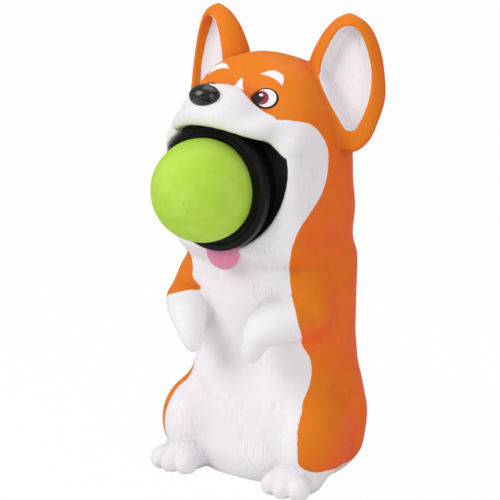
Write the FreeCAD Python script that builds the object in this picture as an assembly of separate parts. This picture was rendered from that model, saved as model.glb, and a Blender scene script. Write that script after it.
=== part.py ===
import FreeCAD, Part
import math
import os

# Dog ball popper: a soft hollow begging dog that shoots a foam ball from its mouth.
# Millimetres. Origin at the middle of the base, +Z up, the dog faces -Y, its left side is +X.

# Skin
skin_wall = 3.0
neck_height = 100.0
mouth_over_neck = 36.4
mouth_height = neck_height + mouth_over_neck
base_strip_height = 4.0

# Ball, and the hard mouth parts that hold it
ball_diameter = 44.5
ball_seat_gap = 0.15
ball_push_in = 10.0
ball_stop_gap = 0.35
mouth_front = -38.7
lip_radius = 21.5
lip_depth = 2.4
barrel_bore_radius = 22.6
barrel_wall = 1.9
barrel_length = 40.0
rim_outer_radius = 27.5
rim_depth = 5.0
rim_edge_round = 1.2
rim_gap = 0.1
stop_rib_width = 3.0
stop_depth = 2.5
stop_rim_width = 2.2
stop_hub_radius = 4.5
stop_hub_hole_radius = 2.2
stop_rib_start = 3.4
stop_rib_angle = 45.0
cup_wall = 1.6
cup_floor = -26.0

# Mouth opening, seen from the front
mouth_corner_x = 31.6
mouth_corner_rise = 14.0
mouth_top_rise = 27.9
mouth_jaw_x = 26.4
mouth_jaw_drop = 11.0
mouth_bottom_drop = 28.3

# Squeeze flanks
flank_centre_y = 6.0
flank_centre_z = 60.0
flank_half_width = 18.0
flank_half_height = 28.0
flank_gap = 0.3
flank_inner_x = 24.0
flank_depth = 26.0

# Ears
ear_centre = (34.0, 8.0, mouth_height + 41.6)
ear_turn = 16.0
ear_lean = 8.0
ear_pocket_depth = 3.0
ear_pocket_opening = 20.0
ear_lining_thickness = 1.2

# Face
nose_centre = (0.0, -43.2, mouth_height + 40.2)
nose_radii = (7.3, 5.6, 5.0)
tongue_centre = (0.0, -30.8, mouth_height - 29.0)
tongue_radii = (8.7, 3.6, 8.0)
eye_place = (15.9, -22.3, mouth_height + 38.0)
eye_facing = (0.5, -0.74, 0.45)
eye_radii = (5.9, 5.3, 1.3)
brow_aim = (15.4, -17.0, mouth_height + 48.6)
brow_radii = (6.0, 2.3, 1.0)

# Body cross-sections from the base to the crown:
# height, half width, front y, back y, front corner radius, back corner radius
body_sections = (
    (0.0, 28.5, -16.5, 27.5, 18.0, 16.0),
    (5.0, 34.8, -19.5, 33.0, 19.0, 18.0),
    (14.0, 40.5, -22.0, 37.6, 18.5, 22.0),
    (28.0, 41.5, -21.5, 40.4, 17.5, 24.0),
    (41.0, 39.0, -19.5, 39.7, 18.5, 24.0),
    (54.0, 36.5, -18.0, 37.6, 19.5, 23.0),
    (70.0, 37.0, -21.0, 34.8, 18.0, 22.0),
    (neck_height - 14.0, 37.2, -24.5, 34.9, 18.5, 21.5),
    (neck_height, 35.6, -25.4, 36.6, 21.0, 19.5),
    (neck_height + 9.0, 35.0, -31.6, 34.2, 15.0, 20.0),
    (mouth_height - 12.4, 37.5, -33.5, 33.2, 11.0, 22.0),
    (mouth_height + 1.6, 38.0, -34.5, 31.6, 9.5, 24.5),
    (mouth_height + 15.6, 37.5, -35.0, 31.4, 10.0, 24.0),
    (mouth_height + 27.6, 34.5, -29.0, 29.6, 15.0, 21.0),
    (mouth_height + 38.6, 30.0, -21.5, 25.5, 16.5, 17.5),
    (mouth_height + 47.6, 23.0, -15.0, 18.0, 12.0, 12.5),
    (mouth_height + 53.6, 9.0, -7.5, 6.5, 5.0, 5.0),
)
front_arc_radius = 110.0
back_arc_radius = 90.0
side_arc_radius = 120.0

# Snout: the bridge with the nose on its end, and the lips that spread over the mouth
bridge = ((0.0, -33.0, mouth_height + 33.2), (16.2, 14.6, 10.8))
lips = ((0.0, -22.0, mouth_height + 25.4), (27.8, 25.4, 11.4))

# Knees and upper arms, rounds that swell out of the torso: centre, half sizes
knee = ((30.8, -8.0, 22.8), (15.2, 20.0, 19.6))
upper_arm = ((28.5, -10.0, neck_height - 17.0), (10.8, 13.0, 16.5))

# Paint line on the torso, seen from the front: half width of the white belly, height
belly_line = (
    (34.0, 0.0),
    (36.0, 14.0),
    (36.5, 28.0),
    (35.0, 42.0),
    (33.5, 54.0),
    (31.0, 66.0),
    (29.0, 80.0),
    (29.0, neck_height - 8.0),
    (32.0, neck_height + 6.0),
)
belly_line_back = -2.0

# Paint line on the head, seen from the side: y, height
head_line = (
    (-18.0, neck_height - 4.0),
    (-22.0, mouth_height - 28.4),
    (-21.0, mouth_height - 17.4),
    (-15.0, mouth_height - 7.4),
    (-8.5, mouth_height + 1.6),
    (-5.0, mouth_height + 11.6),
    (-8.0, mouth_height + 21.6),
    (-17.0, mouth_height + 29.1),
    (-28.0, mouth_height + 33.1),
    (-28.0, mouth_height + 38.6),
    (-22.0, mouth_height + 55.6),
)

# Foreleg, from the elbow to the paw: x, y, z, radius. The other is its mirror image.
arm_route = (
    (31.0, -12.0, neck_height - 20.0, 9.8),
    (28.0, -19.5, neck_height - 20.5, 9.3),
    (23.8, -25.2, neck_height - 22.2, 8.6),
    (20.4, -29.2, neck_height - 24.2, 7.3),
    (17.9, -31.2, neck_height - 28.6, 5.5),
    (16.5, -31.8, neck_height - 33.0, 4.4),
    (16.0, -31.8, neck_height - 36.6, 3.5),
    (15.9, -31.8, neck_height - 38.7, 2.3),
    (15.9, -31.8, neck_height - 39.7, 0.9),
)

# Hind foot, from rounds for the pad and the toes: centre, half sizes
foot_pad = ((30.5, -17.0, 7.2), (11.0, 14.0, 8.6))
toe_centres = ((23.8, -26.8, 5.8), (31.0, -28.8, 6.0), (38.2, -26.8, 5.8))
toe_radii = (4.5, 6.0, 5.4)

# Ear cross-sections from the lobe to the tip: height over the ear's centre, middle, half width,
# half thickness, and how far the middle lies behind the ear's face plane
ear_sections = (
    (-27.0, 6.6, 3.6, 2.6, 0.0),
    (-17.0, 3.0, 13.6, 5.0, 1.5),
    (-3.0, 0.8, 18.2, 8.9, 4.5),
    (10.0, 1.0, 16.5, 9.4, 4.0),
    (21.0, 2.0, 12.3, 7.6, 2.4),
    (27.5, 2.6, 7.4, 5.0, 0.9),
    (30.3, 2.6, 2.8, 2.2, 0.2),
)
ear_hollow_outline = (
    ((9.4, -16.4), (13.9, 3.5), (8.3, 23.0)),
    ((8.3, 23.0), (3.4, 25.2), (-1.2, 22.6)),
    ((-1.2, 22.6), (-6.2, 13.5), (-8.3, 3.6)),
    ((-8.3, 3.6), (-3.6, -5.4), (3.2, -16.8)),
    ((3.2, -16.8), (6.2, -18.8), (9.4, -16.4)),
)

# Ovals that swell and taper like a pebble, or like a flat bead: place along the axis, size
pebble_profile = tuple((t, math.sqrt(1 - t**2)) for t in (-0.98, -0.85, -0.5, 0.0, 0.5, 0.85, 0.98))
bead_profile = ((-2.5, 1.0), (0.0, 1.0), (0.5, 0.87), (0.8, 0.6), (0.95, 0.3))

# A corner is never rounder than this share of what it rounds
corner_share = 0.93

reach = 200.0


def vec(point):
    return FreeCAD.Vector(*point)


def corner_arc(half_width, half_depth, corner, side_radius, end_radius):
    """Tangent points, and the mid point, of a corner arc between a side arc and an end arc.

    The side arc's centre is on y = 0 and the end arc's on x = 0. The corner is in the quadrant
    where both are positive.
    """
    corner = min(corner, corner_share * half_width, corner_share * half_depth)
    side_x = half_width - side_radius
    end_y = half_depth - end_radius
    reach_side = side_radius - corner
    reach_end = end_radius - corner
    gap = math.hypot(side_x, end_y)
    along = (reach_side**2 - reach_end**2 + gap**2) / (2 * gap)
    aside = math.sqrt(reach_side**2 - along**2)
    ux = -side_x / gap
    uy = end_y / gap
    candidates = (
        (side_x + along * ux - aside * uy, along * uy + aside * ux),
        (side_x + along * ux + aside * uy, along * uy - aside * ux),
    )
    centre = max(candidates, key=lambda c: c[0] + c[1])
    side_angle = math.atan2(centre[1], centre[0] - side_x)
    end_angle = math.atan2(centre[1] - end_y, centre[0])

    def on_corner(angle):
        return (centre[0] + corner * math.cos(angle), centre[1] + corner * math.sin(angle))

    return on_corner(side_angle), on_corner((side_angle + end_angle) / 2), on_corner(end_angle)


def oval(half_width, low, high, low_corner, high_corner, side_radius, low_radius, high_radius):
    """Points of a rounded outline, symmetric about x = 0, as eight three-point arcs."""
    middle = (low + high) / 2
    half_depth = (high - low) / 2
    hs, hm, he = corner_arc(half_width, half_depth, high_corner, side_radius, high_radius)
    ls, lm, le = corner_arc(half_width, half_depth, low_corner, side_radius, low_radius)
    right = [(ls[0], middle - ls[1]), (half_width, middle), (hs[0], middle + hs[1])]
    upper_right = [right[2], (hm[0], middle + hm[1]), (he[0], middle + he[1])]
    top = [upper_right[2], (0.0, high), (-he[0], middle + he[1])]
    lower_right = [(le[0], middle - le[1]), (lm[0], middle - lm[1]), right[0]]
    bottom = [(-le[0], middle - le[1]), (0.0, low), lower_right[0]]

    def mirror(arc):
        return [(-x, y) for x, y in reversed(arc)]

    left = [mirror(upper_right), mirror(right), mirror(lower_right)]
    return [right, upper_right, top] + left + [bottom, lower_right]


def round_arcs(half_width, half_height):
    """A circle, or nearly an ellipse, as four arcs."""
    h = math.sqrt(0.5)
    w = half_width
    t = half_height
    points = [(w, 0.0), (w * h, t * h), (0.0, t), (-w * h, t * h)]
    points += [(-x, -y) for x, y in points]
    return [[points[i - 1], points[i], points[(i + 1) % 8]] for i in (0, 2, 4, 6)]


def wire(arcs, place):
    """A closed wire of three-point arcs, whose flat points are put in space by place."""
    return Part.Wire([Part.Arc(*[place(p) for p in arc]).toShape() for arc in arcs])


def body_solid(inset):
    """The whole figure without snout, ears and limbs, or the hollow inside its wall."""
    wires = []
    last = len(body_sections) - 1
    for i, (z, half, front, back, front_corner, back_corner) in enumerate(body_sections):
        if i == 0:
            z = z + inset
        if i == last:
            z = z - inset
        arcs = oval(
            half - inset,
            front + inset,
            back - inset,
            front_corner - inset,
            back_corner - inset,
            side_arc_radius,
            front_arc_radius,
            back_arc_radius,
        )
        wires.append(wire(arcs, lambda p: FreeCAD.Vector(p[0], p[1], z)))
    return Part.makeLoft(wires, True, False)


def slab(low, high):
    """A wide box between two heights."""
    return Part.makeBox(2 * reach, 2 * reach, high - low, FreeCAD.Vector(-reach, -reach, low))


def stacked(centre, across, upward, along, profile):
    """A smooth solid of oval sections stacked along one way.

    The vectors are its half axes; the profile holds how far along each section lies, and its size.
    """
    wires = []
    for share, size in profile:
        arcs = round_arcs(size, size)
        wires.append(wire(arcs, lambda p: centre + along * share + across * p[0] + upward * p[1]))
    return Part.makeLoft(wires, True, False)


def pebble(centre, radii):
    """Nearly an ellipsoid, with its axes along X, Y and Z, and flattened a little at both ends of Y."""
    rx, ry, rz = radii
    along = FreeCAD.Vector(0, ry, 0)
    return stacked(vec(centre), FreeCAD.Vector(rx, 0, 0), FreeCAD.Vector(0, 0, rz), along, pebble_profile)


def swelling(centre, radii):
    """The same, flattened at its top and bottom."""
    rx, ry, rz = radii
    along = FreeCAD.Vector(0, 0, rz)
    return stacked(vec(centre), FreeCAD.Vector(rx, 0, 0), FreeCAD.Vector(0, ry, 0), along, pebble_profile)


def tube(outer, inner, front, back):
    """A ring or tube round the mouth's axis, between two values of y."""
    base = FreeCAD.Vector(0, front, mouth_height)
    axis = FreeCAD.Vector(0, 1, 0)
    ring = Part.makeCylinder(outer, back - front, base, axis)
    return ring.cut(Part.makeCylinder(inner, back - front, base, axis))


def mouth_prism(inset, back):
    """The space of the mouth opening, from in front of the dog to the given y."""
    corner = mouth_height + mouth_corner_rise
    jaw = mouth_height - mouth_jaw_drop
    bottom = mouth_height - mouth_bottom_drop + inset
    top = mouth_height + mouth_top_rise - inset
    corner_x = mouth_corner_x - inset
    jaw_x = mouth_jaw_x - inset
    y = -reach
    arcs = [
        [(-corner_x, corner), (0.0, top), (corner_x, corner)],
        [(corner_x, corner), (jaw_x, jaw), (0.0, bottom)],
        [(0.0, bottom), (-jaw_x, jaw), (-corner_x, corner)],
    ]
    outline = wire(arcs, lambda p: FreeCAD.Vector(p[0], y, p[1]))
    return Part.Face(outline).extrude(FreeCAD.Vector(0, back - y, 0))


def head_white():
    """Everything in front of the head's paint line."""
    points = [FreeCAD.Vector(-reach, y, z) for y, z in head_line]
    line = Part.BSplineCurve()
    line.interpolate(points)
    top = FreeCAD.Vector(-reach, -reach, points[-1].z)
    bottom = FreeCAD.Vector(-reach, -reach, points[0].z)
    edges = [
        line.toShape(),
        Part.makeLine(points[-1], top),
        Part.makeLine(top, bottom),
        Part.makeLine(bottom, points[0]),
    ]
    return Part.Face(Part.Wire(edges)).extrude(FreeCAD.Vector(2 * reach, 0, 0))


def torso_white():
    """Everything inside the belly's paint line, and the strip round the base."""
    points = [FreeCAD.Vector(x, -reach, z) for x, z in belly_line]
    line = Part.BSplineCurve()
    line.interpolate(points)
    right = line.toShape()
    left = right.mirror(FreeCAD.Vector(0, 0, 0), FreeCAD.Vector(1, 0, 0))
    top = Part.makeLine(points[-1], FreeCAD.Vector(-points[-1].x, -reach, points[-1].z))
    bottom = Part.makeLine(points[0], FreeCAD.Vector(-points[0].x, -reach, points[0].z))
    outline = Part.Wire(Part.sortEdges([right, top, left, bottom])[0])
    front = Part.Face(outline).extrude(FreeCAD.Vector(0, reach + belly_line_back, 0))
    return front.fuse(slab(-skin_wall, base_strip_height))


def flank_cutter(side, inset):
    """An oval prism along X, through one side of the torso."""
    centre = FreeCAD.Vector(flank_inner_x * side, flank_centre_y, flank_centre_z)
    top = centre + FreeCAD.Vector(0, 0, flank_half_height - inset)
    rear = centre + FreeCAD.Vector(0, flank_half_width - inset, 0)
    outline = Part.Wire(Part.Ellipse(top, rear, centre).toShape())
    return Part.Face(outline).extrude(FreeCAD.Vector(side * flank_depth, 0, 0))


def ear_point(side, u, v, depth):
    """A point of an ear: u outwards, v upwards, depth out of its face, which leans back."""
    turn = math.radians(ear_turn)
    lean = math.radians(ear_lean)
    cx, cy, cz = ear_centre
    out = depth * math.cos(lean) - v * math.sin(lean)
    x = cx + u * math.cos(turn) + out * math.sin(turn)
    y = cy + u * math.sin(turn) - out * math.cos(turn)
    z = cz + v * math.cos(lean) + depth * math.sin(lean)
    return FreeCAD.Vector(side * x, y, z)


def ear_prism(side, arcs, low, high):
    """A leaf outline drawn on the ear's plane, between two depths."""
    outline = wire(arcs, lambda p: ear_point(side, p[0], p[1], low))
    way = ear_point(side, 0, 0, high) - ear_point(side, 0, 0, low)
    return Part.Face(outline).extrude(way)


def ear(side, head):
    """A leaf that is thick at its root, round behind and hollowed in front."""
    wires = []
    for v, middle, half, thick, behind in ear_sections:
        arcs = round_arcs(half, thick)
        wires.append(wire(arcs, lambda p: ear_point(side, middle + p[0], v, p[1] - behind)))
    blade = Part.makeLoft(wires, True, False)
    pocket = ear_prism(side, ear_hollow_outline, -ear_pocket_depth, ear_pocket_opening)
    return blade.cut(pocket).cut(head)


def ear_lining(side, head):
    top = ear_lining_thickness - ear_pocket_depth
    return ear_prism(side, ear_hollow_outline, -ear_pocket_depth, top).cut(head)


def arm(side, torso):
    """A foreleg that swells at the elbow and tapers to the paw."""
    points = [FreeCAD.Vector(side * x, y, z) for x, y, z, radius in arm_route]
    wires = []
    for i, point in enumerate(points):
        before = points[max(i - 1, 0)]
        after = points[min(i + 1, len(points) - 1)]
        way = (after - before).normalize()
        across = way.cross(FreeCAD.Vector(side, 0, 0)).normalize()
        upward = across.cross(way)
        arcs = round_arcs(arm_route[i][3], arm_route[i][3])
        wires.append(wire(arcs, lambda p: point + across * p[0] + upward * p[1]))
    return Part.makeLoft(wires, True, False).cut(torso)


def foot(side, torso):
    """A hind foot with its three toes, flat underneath."""
    centre, radii = foot_pad
    pad = pebble((side * centre[0], centre[1], centre[2]), radii)
    toes = [pebble((side * x, y, z), toe_radii) for x, y, z in toe_centres]
    whole = pad.multiFuse(toes)
    return whole.cut(slab(-reach, 0.0)).cut(torso)


def on_surface(shape, aim):
    """The point of the shape's skin nearest to the aim, and the way out there."""
    target = Part.Vertex(vec(aim))
    near = target.distToShape(shape.Shells[0])[1][0][1]
    return near, (vec(aim) - near).normalize()


def bead(point, out, radii):
    """A shallow oval bead with a straight back: radii across, up and out."""
    across = FreeCAD.Vector(0, 0, 1).cross(out).normalize()
    upward = out.cross(across)
    wide, tall, proud = radii
    return stacked(point, across * wide, upward * tall, out * proud, bead_profile)


def eye(side, head):
    """An eye that faces its own way and fills the hollow behind it down to the skin."""
    point = FreeCAD.Vector(eye_place[0] * side, eye_place[1], eye_place[2])
    out = FreeCAD.Vector(eye_facing[0] * side, eye_facing[1], eye_facing[2]).normalize()
    return bead(point, out, eye_radii).cut(head)


def brow(side, head):
    """A brow that lies flat on the skin."""
    point, out = on_surface(head, (brow_aim[0] * side, brow_aim[1], brow_aim[2]))
    return bead(point, out, brow_radii).cut(head)


def ball_stop():
    """An open cross in a thin rim, which stops the ball and lets the air through."""
    deepest = ball_rest_y() + ball_push_in + ball_diameter / 2
    front = deepest + ball_stop_gap
    back = front + stop_depth
    rim = tube(barrel_bore_radius, barrel_bore_radius - stop_rim_width, front, back)
    hub = tube(stop_hub_radius, stop_hub_hole_radius, front, back)
    length = barrel_bore_radius - stop_rim_width / 2
    ribs = []
    for quarter in range(4):
        corner = FreeCAD.Vector(stop_rib_start, front, mouth_height - stop_rib_width / 2)
        rib = Part.makeBox(length - corner.x, stop_depth, stop_rib_width, corner)
        axis_point = FreeCAD.Vector(0, 0, mouth_height)
        rib.rotate(axis_point, FreeCAD.Vector(0, 1, 0), stop_rib_angle + 90.0 * quarter)
        ribs.append(rib)
    return rim.multiFuse([hub] + ribs).removeSplitter()


def ball_rest_y():
    """The ball rests on the edge of the lip, a hair clear of it."""
    radius = ball_diameter / 2
    return mouth_front - math.sqrt(radius**2 - (lip_radius - ball_seat_gap) ** 2)


def muzzle_rim():
    rim = tube(rim_outer_radius, barrel_bore_radius + barrel_wall, mouth_front, mouth_front + rim_depth)
    outer_edges = [
        edge
        for edge in rim.Edges
        if isinstance(edge.Curve, Part.Circle) and abs(edge.Curve.Radius - rim_outer_radius) < 0.01
    ]
    return rim.makeFillet(rim_edge_round, outer_edges)


def mouth_cup(head):
    """The black lining between the lips and the barrel."""
    outside = mouth_prism(0.0, cup_floor + cup_wall)
    inside = mouth_prism(cup_wall, cup_floor)
    barrel_hole = Part.makeCylinder(
        barrel_bore_radius + barrel_wall,
        2 * reach,
        FreeCAD.Vector(0, -reach, mouth_height),
        FreeCAD.Vector(0, 1, 0),
    )
    rim_space = tube(rim_outer_radius + rim_gap, barrel_bore_radius, mouth_front, mouth_front + rim_depth)
    return outside.cut(inside).cut(barrel_hole).cut(rim_space).common(head)


def build():
    outer = body_solid(0.0)
    hollow = body_solid(skin_wall)
    below = slab(-reach, neck_height)
    torso_outer = outer.common(below)
    for centre, radii in (knee, upper_arm):
        for side in (1, -1):
            bulge = swelling((side * centre[0], centre[1], centre[2]), radii)
            torso_outer = torso_outer.fuse(bulge)
    head_outer = outer.cut(below)
    for centre, radii in (bridge, lips):
        head_outer = head_outer.fuse(pebble(centre, radii))
    torso = torso_outer.cut(hollow)
    head = head_outer.cut(hollow).cut(mouth_prism(0.0, cup_floor + cup_wall))

    nodes = {}
    for name, side in (("left", 1), ("right", -1)):
        nodes[name + "_flank"] = torso.common(flank_cutter(side, flank_gap))
        torso = torso.cut(flank_cutter(side, 0.0))
    nodes["belly_skin"] = torso.common(torso_white())
    nodes["back_skin"] = torso.cut(torso_white())
    nodes["muzzle_skin"] = head.common(head_white())
    nodes["crown_skin"] = head.cut(head_white())

    for name, side in (("left", 1), ("right", -1)):
        nodes[name + "_ear"] = ear(side, head_outer)
        nodes[name + "_ear_lining"] = ear_lining(side, head_outer)
        nodes[name + "_arm"] = arm(side, torso_outer)
        nodes[name + "_foot"] = foot(side, torso_outer)
        nodes[name + "_eye"] = eye(side, head_outer)
        nodes[name + "_brow"] = brow(side, head_outer)
    nodes["nose"] = pebble(nose_centre, nose_radii).cut(head_outer)
    opening = mouth_prism(0.0, cup_floor)
    nodes["tongue"] = pebble(tongue_centre, tongue_radii).cut(head_outer).cut(opening)

    lip_back = mouth_front + lip_depth
    nodes["muzzle_rim"] = muzzle_rim()
    nodes["grip_lip"] = tube(barrel_bore_radius + barrel_wall, lip_radius, mouth_front, lip_back)
    nodes["barrel"] = tube(
        barrel_bore_radius + barrel_wall, barrel_bore_radius, lip_back, lip_back + barrel_length
    )
    nodes["ball_stop"] = ball_stop()
    nodes["mouth_cup"] = mouth_cup(head_outer)
    centre = FreeCAD.Vector(0, ball_rest_y(), mouth_height)
    nodes["foam_ball"] = Part.makeSphere(ball_diameter / 2, centre)
    return nodes


os.makedirs("parts", exist_ok=True)
for name, shape in build().items():
    solids = shape.Solids
    whole = solids[0] if len(solids) == 1 else Part.makeCompound(solids)
    box = whole.BoundBox
    print(
        name, len(solids), "solid", round(whole.Volume, 1), "mm3", "valid", whole.isValid(),
        [round(v, 1) for v in (box.XMin, box.YMin, box.ZMin, box.XMax, box.YMax, box.ZMax)],
    )
    whole.exportStep("parts/" + name + ".step")
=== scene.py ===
import math

import bmesh
import bpy
import numpy as np
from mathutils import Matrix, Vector


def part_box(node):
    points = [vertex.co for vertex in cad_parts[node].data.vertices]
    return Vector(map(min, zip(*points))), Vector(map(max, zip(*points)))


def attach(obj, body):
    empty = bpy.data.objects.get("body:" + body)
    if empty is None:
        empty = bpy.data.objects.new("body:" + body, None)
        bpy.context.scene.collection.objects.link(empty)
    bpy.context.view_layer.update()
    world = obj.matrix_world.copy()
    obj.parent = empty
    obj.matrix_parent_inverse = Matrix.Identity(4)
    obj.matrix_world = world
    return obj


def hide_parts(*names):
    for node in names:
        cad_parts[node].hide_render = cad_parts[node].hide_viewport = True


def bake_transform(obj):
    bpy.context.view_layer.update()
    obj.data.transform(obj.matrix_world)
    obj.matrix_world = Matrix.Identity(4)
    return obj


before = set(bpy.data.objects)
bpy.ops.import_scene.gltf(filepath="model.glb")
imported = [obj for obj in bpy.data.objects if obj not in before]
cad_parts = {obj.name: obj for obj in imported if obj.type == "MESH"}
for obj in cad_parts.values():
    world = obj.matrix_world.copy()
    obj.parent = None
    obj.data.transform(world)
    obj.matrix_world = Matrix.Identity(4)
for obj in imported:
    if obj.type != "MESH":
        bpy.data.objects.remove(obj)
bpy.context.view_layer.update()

# Dog ball popper: the looks of a soft moulded begging dog with a foam ball in its mouth.
# Forms are worked out in millimetres and made in metres. The dog faces -Y, its left side is +X.
MM = 0.001

# Fineness: edge lengths of the meshes in millimetres, and how many points a print has
skin_step = 0.95
nose_step = 0.3
tongue_step = 0.4
eye_rings, eye_spokes = ((26, 96))
brow_columns, brow_rows = ((60, 14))
ball_subdivisions = 6


# The figure's own sizes, as in the solids

# Cross-sections of torso and head: height, half width, front y, back y, front and back corner radius
body_sections = np.array((
    (0.0, 28.5, -16.5, 27.5, 18.0, 16.0),
    (5.0, 34.8, -19.5, 33.0, 19.0, 18.0),
    (14.0, 40.5, -22.0, 37.6, 18.5, 22.0),
    (28.0, 41.5, -21.5, 40.4, 17.5, 24.0),
    (41.0, 39.0, -19.5, 39.7, 18.5, 24.0),
    (54.0, 36.5, -18.0, 37.6, 19.5, 23.0),
    (70.0, 37.0, -21.0, 34.8, 18.0, 22.0),
    (86.0, 37.2, -24.5, 34.9, 18.5, 21.5),
    (100.0, 35.6, -25.4, 36.6, 21.0, 19.5),
    (109.0, 35.0, -31.6, 34.2, 15.0, 20.0),
    (124.0, 37.5, -33.5, 33.2, 11.0, 22.0),
    (138.0, 38.0, -34.5, 31.6, 9.5, 24.5),
    (152.0, 37.5, -35.0, 31.4, 10.0, 24.0),
    (164.0, 34.5, -29.0, 29.6, 15.0, 21.0),
    (175.0, 30.0, -21.5, 25.5, 16.5, 17.5),
    (184.0, 23.0, -15.0, 18.0, 12.0, 12.5),
    (190.0, 9.0, -7.5, 6.5, 5.0, 5.0),
    (191.2, 0.0, -0.5, -0.5, 0.0, 0.0),
))
front_arc_radius = 110.0
back_arc_radius = 90.0
side_arc_radius = 120.0
base_edge_round = 2.5
corner_share = 0.93
least_corner = 0.2
least_half = 0.3
neck_height = 100.0
crown_start = 164.0

# Ovals that swell out of torso and head: centre, radii
bridge = ((0.0, -33.0, 169.6), (16.2, 14.6, 10.8))
lips = ((0.0, -22.0, 161.8), (27.8, 25.4, 11.4))
knee = ((30.8, -8.0, 22.8), (15.2, 20.0, 19.6))
upper_arm = ((28.5, -10.0, 83.0), (10.8, 13.0, 16.5))
foot_pad = ((30.5, -17.0, 7.2), (11.0, 14.0, 8.6))
toe_centres = ((23.8, -26.8, 5.8), (31.0, -28.8, 6.0), (38.2, -26.8, 5.8))
toe_radii = (4.5, 6.0, 5.4)

# Points down the left arm from the elbow to the paw's tip: place, radius
arm_route = np.array((
    (31.5, -11.5, 80.5, 10.2),
    (28.0, -19.5, 79.5, 9.3),
    (23.8, -25.2, 77.8, 8.6),
    (20.4, -29.2, 75.8, 7.3),
    (17.9, -31.2, 71.4, 5.5),
    (16.5, -31.8, 67.0, 4.4),
    (16.0, -31.8, 63.6, 3.5),
))

ear_centre = (34.0, 8.0, 178.0)
ear_turn = math.radians(16.0)
ear_lean = math.radians(8.0)
ear_pocket_depth = 3.0

# Ear cross-sections from the lobe to the tip: height over the ear's centre, middle, half width,
# half thickness, and how far the middle lies behind the ear's face plane
ear_sections = np.array((
    (-28.5, 6.6, 0.4, 0.4, 0.0),
    (-27.0, 6.6, 3.6, 2.6, 0.0),
    (-17.0, 3.0, 13.6, 5.0, 1.5),
    (-3.0, 0.8, 18.2, 8.9, 4.5),
    (10.0, 1.0, 16.5, 9.4, 4.0),
    (21.0, 2.0, 12.3, 7.6, 2.4),
    (27.5, 2.6, 7.4, 5.0, 0.9),
    (30.3, 2.6, 2.8, 2.2, 0.2),
    (31.2, 2.6, 0.3, 0.3, 0.0),
))

# Outline of the ear's hollow as arcs through three points: across, up
ear_hollow_outline = (
    ((9.4, -16.4), (13.9, 3.5), (8.3, 23.0)),
    ((8.3, 23.0), (3.4, 25.2), (-1.2, 22.6)),
    ((-1.2, 22.6), (-6.2, 13.5), (-8.3, 3.6)),
    ((-8.3, 3.6), (-3.6, -5.4), (3.2, -16.8)),
    ((3.2, -16.8), (6.2, -18.8), (9.4, -16.4)),
)

nose_centre = (0.0, -43.2, 176.6)
nose_radii = (7.3, 5.6, 5.0)
tongue_centre = (0.0, -30.8, 107.4)
tongue_radii = (8.7, 3.6, 8.0)
eye_place = (15.9, -22.3, 174.4)
eye_facing = (0.5, -0.74, 0.45)
eye_radii = (5.9, 5.3)
brow_aim = (15.4, -17.0, 185.0)
right_brow_aim = (16.0, -15.6, 186.7)
brow_roll = math.radians(-24.5)
brow_half_length = 6.3

mouth_height = 136.4
mouth_front = -38.7
ball_radius = 22.25
lip_radius = 21.5
lip_depth = 2.4
barrel_outer_radius = 24.5
rim_outer_radius = 27.5
rim_depth = 5.0
cup_floor = -26.0
bore_radius = 24.0
bore_end = 20.0

# Outline of the open mouth round the ring's axis, as arcs through three points: x, z
mouth_outline = (
    ((-31.6, 14.0), (0.0, 27.9), (31.6, 14.0)),
    ((31.6, 14.0), (26.4, -11.0), (0.0, -28.3)),
    ((0.0, -28.3), (-26.4, -11.0), (-31.6, 14.0)),
)

# The oval window in each side that the hands press in: y, z
flank_centre = (6.0, 60.0)
flank_half = (18.0, 28.0)
flank_inner_x = 20.0

# Paint line between the white front and the orange back: degrees round from the front, height
paint_line = (
    (182.0, 7.0), (127.5, 7.2), (105.0, 8.0), (77.0, 11.2), (65.2, 12.0),
    (57.0, 15.0), (54.6, 19.0), (54.5, 28.0), (56.6, 34.4), (62.5, 40.3),
    (70.3, 46.5), (74.0, 53.3), (71.9, 60.3), (63.6, 67.4), (56.8, 75.4),
    (54.2, 82.5), (54.0, 90.0), (54.3, 99.0), (52.6, 108.1), (54.7, 116.3),
    (58.8, 122.2), (67.1, 128.4), (74.6, 134.2), (79.3, 140.8), (81.3, 147.9),
    (80.7, 153.1), (77.4, 157.8), (72.2, 162.0), (65.5, 164.5), (52.8, 166.2),
    (42.7, 166.6), (30.0, 166.8), (-4.0, 166.8),
)
mm_per_degree = 0.62

# The same line over the muzzle and up the blaze: distance from the middle, tilted height
muzzle_line = (
    (-5.0, 193.4), (0.0, 193.4), (1.2, 190.4), (2.1, 187.6), (3.2, 186.2),
    (5.6, 183.6), (8.1, 181.4), (10.4, 179.6), (13.1, 177.2), (15.0, 175.7),
    (16.9, 174.6), (19.7, 173.5), (24.2, 172.2), (28.0, 167.0),
)
muzzle_tilt = 0.7
muzzle_tilt_front = -33.0
muzzle_back = -11.0

# Where the orange reaches further forward on the dog's right arm: height, spread, degrees
right_arm_paint = ((86.5, 3.2, 12.0), (94.0, 9.0, 8.0))
# The white of the dog's right ear is narrower and lies nearer the head
right_ear_stretch = 1.04
right_ear_shift = 1.1
ear_paint_margin = 0.3
ear_paint_depth = 2.5

# How far neighbouring forms melt into each other
snout_blend = 5.0
head_blend = 4.0
limb_blend = 5.0
toe_blend = 1.8
foot_blend = 2.5
arm_blend = 2.5
elbow_blend = 3.0
ear_blend = 4.0
ear_pocket_round = 5.0
ear_pocket_edge = 2.0
mouth_edge = 2.2
lining_gap = 1.6


# Small geometry helpers


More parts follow.
